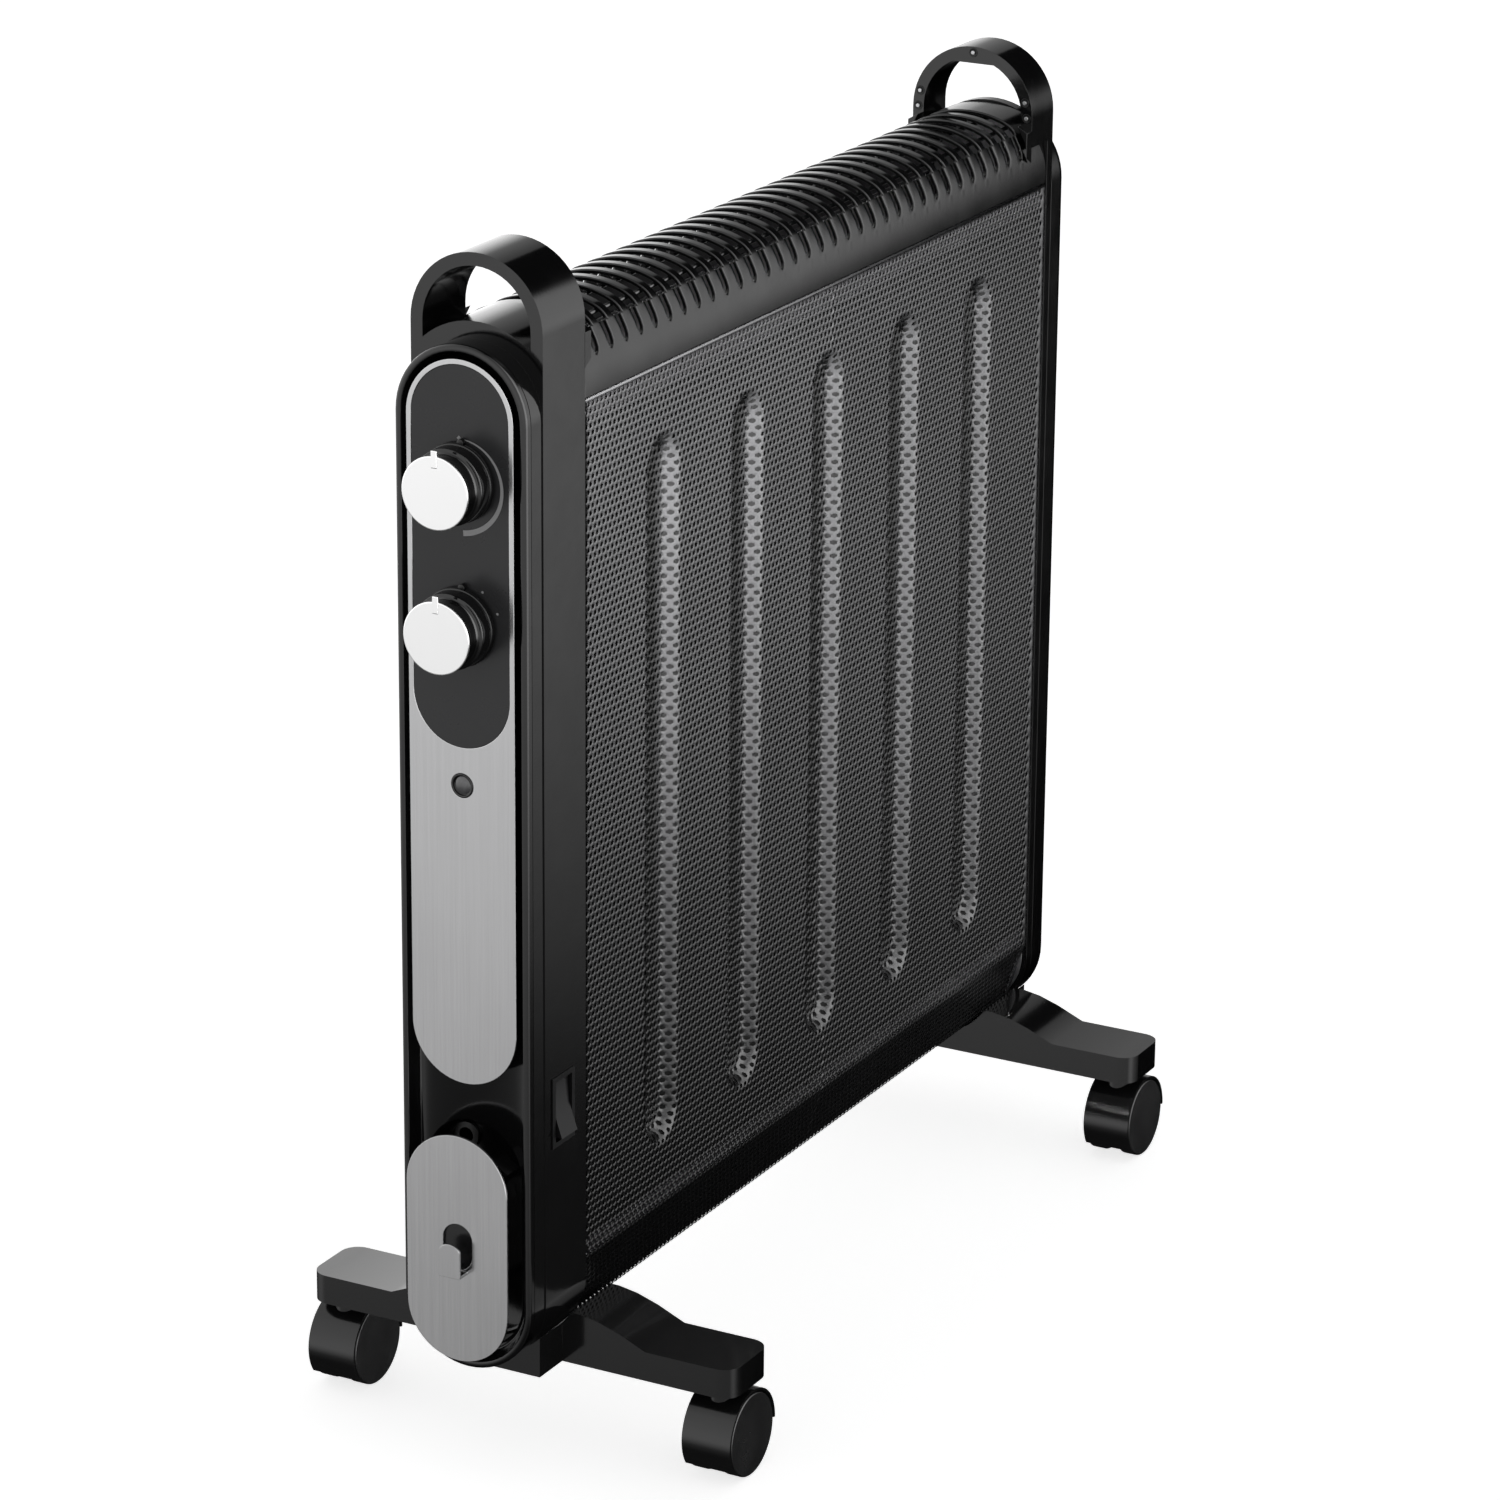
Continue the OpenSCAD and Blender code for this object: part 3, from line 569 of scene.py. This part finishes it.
PITCH = 4.3
ROW = PITCH * math.sqrt(3) / 2
HOLE_R = 1.34
DIMPLE = 0.3
GROOVE_LOW_Z = 158.0
GROOVE_TOP_Z = 509.0
GROOVE_LIP_R = 16.4
GROOVE_WALL = 7.0
GROOVE_DEPTH = 6.4
GROOVE_SHIFT = 1.2
SHEET_BEND_Z = 130.0
# Depths and grid of the dark sheet that paints shade behind the holes
HOLE_SHADE_SINKS = (1.7, 2.1)
HOLE_SHADE_GRID = (131, 81)

# Distances from a sheet's edges to the centres of its cells and holes
FIRST_COLUMN = 1.0
LAST_ROW = 2.1
COLUMN_REACH = 2.1
ROW_REACH = 2.4
SIDE_MARGIN = 2.0
END_MARGIN = 1.9

# The panel's section from its lower edge up, in (y, z)
FOLD = np.array([(-13.0, 64.0), (-25.0, 71.0), (-36.0, 106.0), (-36.0, PANEL_TOP_Z - 1.5)])


def groove_depth(x, z):
    """Depth of the pressed grooves at points of the panel."""
    deepest = np.zeros_like(x)
    for gx in GROOVES_X:
        off = np.hypot(x - gx - GROOVE_SHIFT, z - np.clip(z, GROOVE_LOW_Z, GROOVE_TOP_Z))
        t = np.clip((GROOVE_LIP_R - off) / GROOVE_WALL, 0.0, 1.0)
        deepest = np.maximum(deepest, GROOVE_DEPTH * t * t * (3 - 2 * t))
    return deepest


def panel_place(x, s, sink):
    """Points of the panel's outer surface from x and the length s up from its lower edge."""
    steps = np.hypot(*np.diff(FOLD, axis=0).T)
    at = np.concatenate([[0.0], np.cumsum(steps)])
    y = np.interp(s, at, FOLD[:, 0])
    z = np.interp(s, at, FOLD[:, 1])
    inward = sink + np.where(z > SHEET_BEND_Z, groove_depth(x, z), 0.0)
    return np.stack([x, y + inward, z], 1)


def hole_shade_sheet(name, x0, x1, length, side):
    """A thin dark sheet close behind the perforated face, which keeps light out of the holes and paints them
    with shade.
    """
    across = np.linspace(x0, x1, HOLE_SHADE_GRID[0])
    along = np.linspace(0.5, length - 1.5, HOLE_SHADE_GRID[1])
    shell = Shell()
    sheets = []
    for sink in HOLE_SHADE_SINKS:
        x, s = np.meshgrid(across, along, indexing="ij")
        at = panel_place(x.ravel(), s.ravel(), sink)
        at[:, 1] *= -side
        sheets.append(np.array(shell.ring(at.tolist())).reshape(x.shape))
    for sheet in sheets:
        for a, b in zip(sheet, sheet[1:]):
            shell.faces.extend((a[k], a[k + 1], b[k + 1], b[k]) for k in range(len(a) - 1))
    edges = [np.concatenate([g[0, :-1], g[:-1, -1], g[-1, :0:-1], g[:0:-1, 0]]).tolist() for g in sheets]
    shell.bridge(*edges)
    trim(shell.piece(name, 60.0), "root", "perforated_steel", materials["panel_liner"])


def perforated(node, flip):
    """Perforated sheet of hexagon cells, each with a dished hole, in two halves."""
    length = float(np.hypot(*np.diff(FOLD, axis=0).T).sum())
    x0, x1 = X_PANEL_0 + 0.3, X_PANEL_1 - 0.3
    columns = int((x1 - x0) / PITCH) + 2
    rows = int(length / ROW) + 3
    i, j = np.meshgrid(np.arange(columns), np.arange(rows), indexing="ij")
    i, j = i.ravel(), j.ravel()
    cx = x0 + FIRST_COLUMN + (i + 0.5 * (j % 2)) * PITCH
    cs = (length - LAST_ROW) % ROW + (j - 1) * ROW
    turn = np.radians(30.0 + 60.0 * np.arange(6))
    corner_x = cx[:, None] + PITCH / math.sqrt(3) * np.cos(turn)
    corner_s = cs[:, None] + PITCH / math.sqrt(3) * np.sin(turn)
    on_sheet = (np.abs(cs - length / 2) < length / 2 + ROW_REACH) & (cx < x1 + COLUMN_REACH)
    i, cx, cs, corner_x, corner_s = (a[on_sheet] for a in (i, cx, cs, corner_x, corner_s))
    corner_x = np.clip(corner_x, x0, x1)
    corner_s = np.clip(corner_s, 0.0, length)
    holed = (cx > x0 + SIDE_MARGIN) & (cx < x1 - SIDE_MARGIN) & (cs > END_MARGIN) & (cs < length - END_MARGIN)
    for half in range(2):
        mine = (i < columns // 2) if half == 0 else (i >= columns // 2)
        key = np.round(np.stack([corner_x[mine].ravel(), corner_s[mine].ravel()], 1), 3)
        flat, index = np.unique(key, axis=0, return_inverse=True)
        index = index.reshape(-1, 6)
        open_cells = holed[mine]
        hole_x = (cx[mine][open_cells][:, None] + HOLE_R * np.cos(turn)).ravel()
        hole_s = (cs[mine][open_cells][:, None] + HOLE_R * np.sin(turn)).ravel()
        outer = panel_place(flat[:, 0], flat[:, 1], 0.0)
        inner = panel_place(hole_x, hole_s, DIMPLE)
        points = np.concatenate([outer, inner])
        faces = []
        for c, corners in enumerate(index[open_cells]):
            h = len(flat) + 6 * c
            for k in range(6):
                n = (k + 1) % 6
                faces.append((corners[k], corners[n], h + n, h + k))
        for corners in index[~open_cells]:
            ring = [c for n, c in enumerate(corners) if c != corners[n - 1]]
            if len(set(ring)) > 2:
                faces.append(tuple(dict.fromkeys(ring)))
        if flip:
            points[:, 1] *= -1
            faces = [f[::-1] for f in faces]
        mesh = bpy.data.meshes.new(f"{node}_half_{half}")
        mesh.from_pydata((points * MM).tolist(), [], [tuple(int(v) for v in f) for f in faces])
        smooth(mesh, 60.0)
        obj = bpy.data.objects.new(mesh.name, mesh)
        bpy.context.scene.collection.objects.link(obj)
        give(obj, node)
    side = 1.0 if flip else -1.0
    # Dark sheet behind the face: painted shade seen through the holes
    hole_shade_sheet(node + "_liner", x0 + 0.5, x1 - 0.5, length, side)
    hem = bar_x(node + "_hem", x0, x1, side * 35.7, PANEL_TOP_Z - 0.9, 0.9)
    trim(hem, "root", "perforated_steel")


def bar_x(name, x0, x1, y, z, r, sides=12):
    """A round bar along X with softened ends."""
    ends = [(x0, r * 0.6), (x0 + 0.4 * r, r), (x1 - 0.4 * r, r), (x1, r * 0.6)]
    return revolved_x(name, ends, y, z, sides, 50.0)


perforated("front_panel", False)
perforated("rear_panel", True)


# ---------------------------------------------------------------- grille

ARCH = np.array([
    (36.8, 562.3), (36.8, 566.5), (36.6, 571.0), (36.1, 576.0), (35.2, 581.0), (34.0, 585.5), (32.4, 589.8),
    (30.4, 593.6), (27.8, 597.0), (24.4, 599.6), (20.3, 601.5), (13.9, 603.4), (8.5, 604.4), (0.0, 605.0)])

SLOT_LOW_Z = 582.0
SLOT_STEP_Z = 594.5
SIDE_SLOT = 2.5
TOP_SLOT = 4.5
GRILLE_WALL = 2.4


def arch_profile():
    """Even points over the grille's outline from one lower edge to the other, in (y, z)."""
    full = np.concatenate([ARCH * (-1, 1), ARCH[-2::-1]])
    run = np.concatenate([[0.0], np.cumsum(np.hypot(*np.diff(full, axis=0).T))])
    fine = np.linspace(0.0, run[-1], 600)
    y, z = np.interp(fine, run, full[:, 0]), np.interp(fine, run, full[:, 1])
    kernel = np.ones(21) / 21
    for _ in range(2):
        y[10:-10] = np.convolve(y, kernel, "valid")
        z[10:-10] = np.convolve(z, kernel, "valid")
    return fine, y, z


def grille():
    """Slotted skin: narrow round-ended slots on the sides, wide slots over the top."""
    run, ys, zs = arch_profile()
    half = run[-1] / 2
    low_s = float(np.interp(SLOT_LOW_Z, zs[: len(zs) // 2], run[: len(zs) // 2]))
    step_s = float(np.interp(SLOT_STEP_Z, zs[: len(zs) // 2], run[: len(zs) // 2]))
    end_s = low_s + 2.0
    side = [0.0, 6.0, 12.0, low_s - 3.0, end_s, low_s + 6.0, step_s]
    top = list(np.linspace(step_s + 2.5, half, 12))
    rows = side + top
    rows = rows + [run[-1] - s for s in rows[-2::-1]]
    ends = [min(abs(s - end_s), abs(run[-1] - s - end_s)) < 1e-6 for s in rows]
    xs = [X_PANEL_0 + 0.2]
    for x in SLOTS_X:
        xs += [x - TOP_SLOT, x - SIDE_SLOT, x - 1.7, x, x + 1.7, x + SIDE_SLOT, x + TOP_SLOT]
    xs.append(X_PANEL_1 - 0.2)
    xs = np.array(xs)
    near = np.array([min(SLOTS_X, key=lambda g: abs(g - x)) for x in xs])
    grid = []
    off = np.abs(xs - near)
    drop = np.where(off < SIDE_SLOT, np.sqrt(np.maximum(SIDE_SLOT ** 2 - off ** 2, 0.0)), 0.0)
    for s, is_end in zip(rows, ends):
        moved = np.full(len(xs), s)
        if is_end:
            moved = moved - drop if s < half else moved + drop
        grid.append(np.stack([xs, np.interp(moved, run, ys), np.interp(moved, run, zs)], 1))
    points = np.concatenate(grid)
    width = len(xs)
    faces = []
    for r in range(len(rows) - 1):
        mid = (rows[r] + rows[r + 1]) / 2
        up = min(mid, run[-1] - mid)
        for c in range(width - 1):
            beside = abs((xs[c] + xs[c + 1]) / 2 - near[c]) if near[c] == near[c + 1] else math.inf
            opened = (up > end_s and beside < SIDE_SLOT) or (up > step_s and beside < TOP_SLOT)
            if not opened:
                a = r * width + c
                faces.append((a, a + width, a + width + 1, a + 1))
    mesh = bpy.data.meshes.new("top_grille_shape")
    mesh.from_pydata((points * MM).tolist(), [], faces)
    work = bmesh.new()
    work.from_mesh(mesh)
    loose = [v for v in work.verts if not v.link_faces]
    bmesh.ops.delete(work, geom=loose, context="VERTS")
    bmesh.ops.recalc_face_normals(work, faces=work.faces)
    work.to_mesh(mesh)
    work.free()
    mesh.shade_smooth()
    obj = bpy.data.objects.new("top_grille_shape", mesh)
    bpy.context.scene.collection.objects.link(obj)
    skin = obj.modifiers.new("wall", "SOLIDIFY")
    skin.thickness = GRILLE_WALL * MM
    skin.offset = -1.0
    bevelled(obj, 0.75, 3, 40.0)
    give(obj, "top_grille")
    for n, (y, z) in enumerate(((-22.0, 596.6), (-9.0, 600.3), (9.0, 600.3), (22.0, 596.6))):
        rod = bar_x(f"grille_rib_{n}", X_PANEL_0 + 1.0, X_PANEL_1 - 1.0, y, z, 1.2)
        trim(rod, "root", "grille_plastic")


grille()


def collar(name, x0, x1, side):
    """A shallow step of an end frame over the grille's shoulder, with a chamfer below."""
    outline = [(BODY_R, 578.0), (BODY_R, 596.0), (31.0, 599.4), (33.4, 594.6), (35.8, 590.6), (36.6, 586.5),
               (36.7, 578.0)]
    near, far = (x0, x1) if x1 > x0 else (x1, x0)
    shell = Shell()
    rings = []
    for x in (near, far):
        low = 4.0 if x == x1 else 0.0
        rings.append([(x, side * y, z + (low if z < 580.0 else 0.0)) for y, z in outline])
    made = shell.loft(rings)
    shell.fill(made[0])
    shell.fill(made[1])
    obj = shell.piece(name, 30.0)
    bevelled(obj, 0.15, 2)
    return trim(obj, "root", "frame_plastic")


for side_name, side in (("front", -1.0), ("rear", 1.0)):
    collar("near_collar_" + side_name, X_PANEL_0 - 0.5, X_PANEL_0 + 6.0, side)
    collar("far_collar_" + side_name, 267.5, 261.0, side)


def screw_shade_cups():
    """A dished black cup round each screw of the handle rings, its black a painted shade of a screw recess.
    """
    across = (BODY_R + RING_INNER_R) / 2
    for end, x in (("near", X_PANEL_0), ("far", X_FAR_RING)):
        face = 1.0 if end == "near" else -1.0
        for n, angle in enumerate(SCREW_ANGLES):
            y = across * math.cos(math.radians(angle))
            z = RING_Z + across * math.sin(math.radians(angle))
            dish = [(-0.2, 2.7), (0.35, 2.5), (0.4, 2.2), (0.05, 1.25), (-0.2, 1.2)]
            cup = revolved_x(f"screw_cup_{end}_{n}", [(x + face * up, r) for up, r in dish], y, z, 24)
            # Near-black cup: painted shade of a recessed screw
            trim(cup, "root", "frame_plastic", index_and_shade_material)


screw_shade_cups()


# ---------------------------------------------------------------- inside, feet and castors

for node in ("front_element", "rear_element", "reflector_sheet", "upper_rail", "lower_rail",
             "control_bulkhead", "far_bulkhead", "thermal_cutout", "tip_over_switch", "terminal_block",
             "handle_screws", "foot_screws", "bulkhead_screws"):
    detail_copy(node, 0.2, 2)
detail_copy("wiring_loom", 0.1, 1, 60.0)
detail_copy("control_foot", 1.1, 4, 35.0)
detail_copy("far_foot", 1.1, 4, 35.0)
for corner in ("fl", "rl", "fr", "rr"):
    detail_copy(f"castor_{corner}_hood", 0.5, 2)
    detail_copy(f"castor_{corner}_stem", 0.3, 2)
    detail_copy(f"castor_{corner}_axle", 0.3, 2)
    detail_copy(f"castor_{corner}_wheels", 0.9, 3)

for node, obj in frame["nodes"].items():
    obj.data.materials.clear()
    obj.data.materials.append(materials[slot_of[node]])


# ---------------------------------------------------------------- studio

FLOOR_Z = -0.2
FLOOR_RADII = (14000.0, 4000.0, 1000.0)
EVEN_LIGHT = 0.35
FLOOR_GLOW = 0.76
SHINE = 4.5

# What glossy surfaces reflect: brightness by height above the horizon at either end of X,
# times brightness by bearing from +X towards +Y, all in degrees
LEFT_BAND = [(-90, 0.02), (-40, 0.03), (-28, 0.16), (-20, 0.62), (-12, 1.0), (0, 1.0), (40, 0.8), (90, 0.3)]
RIGHT_BAND = [(-90, 0.01), (-26, 0.02), (-22.6, 0.02), (-19.8, 0.32), (-17.0, 0.58), (-8, 0.95),
              (30, 1.0), (90, 0.4)]
BEARINGS = [(-180, 0.32), (-120, 0.30), (-95, 1.0), (-60, 1.0), (-42, 0.32), (-29.2, 0.32), (-27.9, 0.0),
            (9.0, 0.0), (9.6, 0.07), (25.0, 0.12), (32.0, 0.42), (120, 0.42), (140, 0.32), (180, 0.32)]

# Raking lights along the panels, and the camera, in metres, watts and degrees
RAKE_AT = (-1.6, 0.42, 0.98)
RAKE_TARGET = (-0.17, 0.036, 0.56)
RAKE_SIZE = 0.22
RAKE_POWER = 12.0
RAKE_SPREAD = 24.0
CAMERA_AT = (-2.576, -1.3856, 1.320)
CAMERA_FORWARD = (0.8329, 0.4461, -0.3274)
CAMERA_UP = (0.2844, 0.1624, 0.9448)
CAMERA_LENS_MM = 138.5


def area_light(name, at, target, size, power):
    """A square lamp at a place, turned towards a target."""
    data = bpy.data.lights.new(name, "AREA")
    data.size = size
    data.energy = power
    lamp = bpy.data.objects.new(name, data)
    bpy.context.scene.collection.objects.link(lamp)
    lamp.location = at
    lamp.rotation_mode = "QUATERNION"
    lamp.rotation_quaternion = (Vector(target) - Vector(at)).to_track_quat("-Z", "Y")
    return lamp


def pale(name, colour, rough):
    """A pale matt ground that gives off light of its own."""
    mat, tree, shader = tree_of(name)
    tone = noise(tree, place(tree), 1.5, 3.0)
    tree.links.new(ramp(tree, tone, tuple(c * 0.99 for c in colour), colour), shader.inputs["Base Color"])
    tree.links.new(spread(tree, tone, rough, rough + 0.05), shader.inputs["Roughness"])
    shader.inputs["Specular IOR Level"].default_value = 0.2
    shader.inputs["Emission Color"].default_value = (1.0, 1.0, 1.0, 1.0)
    shader.inputs["Emission Strength"].default_value = FLOOR_GLOW
    return mat


def floor():
    """A wide pale disc just under the castors, kept out of reflections and bounced light."""
    shell = Shell()
    turns = [math.pi * i / 48 for i in range(96)]
    rings = shell.loft([[(r * math.cos(a), r * math.sin(a), FLOOR_Z) for a in turns] for r in FLOOR_RADII])
    shell.fill(rings[-1])
    obj = shell.piece("floor", 60.0)
    obj.data.materials.append(pale("floor_pale", (0.88, 0.88, 0.88), 0.7))
    obj.visible_glossy = False
    obj.visible_diffuse = False
    return obj


def tone_ramp(tree, value, stops):
    """Brightness over a value from 0 to 1, from (value, brightness) stops."""
    node = tree.nodes.new("ShaderNodeValToRGB")
    spots = node.color_ramp.elements
    while len(spots) < len(stops):
        spots.new(0.5)
    for spot, (position, level) in zip(spots, stops):
        spot.position = position
        spot.color = (level, level, level, 1.0)
    tree.links.new(value, node.inputs["Fac"])
    return node.outputs["Color"]


def studio_world():
    """Even dim light on matt surfaces, banded reflections with a dark wedge, and a white backdrop."""
    world = bpy.data.worlds.new("studio")
    bpy.context.scene.world = world
    world.use_nodes = True
    tree = world.node_tree
    plain = tree.nodes["Background"]
    plain.inputs["Color"].default_value = (1.0, 1.0, 1.0, 1.0)
    plain.inputs["Strength"].default_value = EVEN_LIGHT
    where = tree.nodes.new("ShaderNodeTexCoord")
    split = tree.nodes.new("ShaderNodeSeparateXYZ")
    tree.links.new(where.outputs["Generated"], split.inputs["Vector"])
    height = tree.nodes.new("ShaderNodeMapRange")
    height.inputs["From Min"].default_value = -1.0
    tree.links.new(split.outputs["Z"], height.inputs["Value"])
    side = tree.nodes.new("ShaderNodeMapRange")
    side.interpolation_type = "SMOOTHSTEP"
    side.inputs["From Min"].default_value = -0.5
    side.inputs["From Max"].default_value = 0.5
    tree.links.new(split.outputs["X"], side.inputs["Value"])
    mix = tree.nodes.new("ShaderNodeMix")
    mix.data_type = "RGBA"
    tree.links.new(side.outputs["Result"], mix.inputs["Factor"])
    for socket, band in ((MIX_A, LEFT_BAND), (MIX_B, RIGHT_BAND)):
        stops = [(0.5 + 0.5 * math.sin(math.radians(angle)), level) for angle, level in band]
        tree.links.new(tone_ramp(tree, height.outputs["Result"], stops), mix.inputs[socket])
    bearing = tree.nodes.new("ShaderNodeMath")
    bearing.operation = "ARCTAN2"
    tree.links.new(split.outputs["Y"], bearing.inputs[0])
    tree.links.new(split.outputs["X"], bearing.inputs[1])
    around = tree.nodes.new("ShaderNodeMapRange")
    around.inputs["From Min"].default_value = -math.pi
    around.inputs["From Max"].default_value = math.pi
    tree.links.new(bearing.outputs["Value"], around.inputs["Value"])
    stops = [(0.5 + angle / 360.0, level) for angle, level in BEARINGS]
    screen = tree.nodes.new("ShaderNodeMix")
    screen.data_type = "RGBA"
    screen.blend_type = "MULTIPLY"
    screen.inputs["Factor"].default_value = 1.0
    tree.links.new(mix.outputs[MIX_RESULT], screen.inputs[MIX_A])
    tree.links.new(tone_ramp(tree, around.outputs["Result"], stops), screen.inputs[MIX_B])
    shine = tree.nodes.new("ShaderNodeBackground")
    shine.inputs["Strength"].default_value = SHINE
    tree.links.new(screen.outputs[MIX_RESULT], shine.inputs["Color"])
    path = tree.nodes.new("ShaderNodeLightPath")
    choose = tree.nodes.new("ShaderNodeMixShader")
    tree.links.new(path.outputs["Is Glossy Ray"], choose.inputs["Fac"])
    tree.links.new(plain.outputs["Background"], choose.inputs[1])
    tree.links.new(shine.outputs["Background"], choose.inputs[2])
    backdrop = tree.nodes.new("ShaderNodeBackground")
    backdrop.inputs["Color"].default_value = (1.0, 1.0, 1.0, 1.0)
    seen = tree.nodes.new("ShaderNodeMixShader")
    tree.links.new(path.outputs["Is Camera Ray"], seen.inputs["Fac"])
    tree.links.new(choose.outputs["Shader"], seen.inputs[1])
    tree.links.new(backdrop.outputs["Background"], seen.inputs[2])
    tree.links.new(seen.outputs["Shader"], tree.nodes["World Output"].inputs["Surface"])


floor()
studio_world()
panels = bpy.data.collections.new("panels")
for piece in list(bpy.data.objects):
    if piece.type == "MESH" and piece.name.startswith(("front_panel", "rear_panel")):
        panels.objects.link(piece)
for name, side in (("front_rake", -1.0), ("rear_rake", 1.0)):
    mirror = Vector((1.0, side, 1.0))
    rake = area_light(name, mirror * Vector(RAKE_AT), mirror * Vector(RAKE_TARGET), RAKE_SIZE, RAKE_POWER)
    rake.data.spread = math.radians(RAKE_SPREAD)
    rake.light_linking.receiver_collection = panels

camera_data = bpy.data.cameras.new("camera")
camera = bpy.data.objects.new("camera", camera_data)
bpy.context.scene.collection.objects.link(camera)
forward = Vector(CAMERA_FORWARD).normalized()
up = Vector(CAMERA_UP)
right = forward.cross(up).normalized()
up = right.cross(forward).normalized()
turned = Matrix((right, up, -forward)).transposed()
camera.matrix_world = Matrix.Translation(CAMERA_AT) @ turned.to_4x4()
camera_data.sensor_width = 36.0
camera_data.lens = CAMERA_LENS_MM
camera_data.clip_end = 60.0
bpy.context.scene.camera = camera
bpy.context.scene.view_settings.view_transform = "Standard"
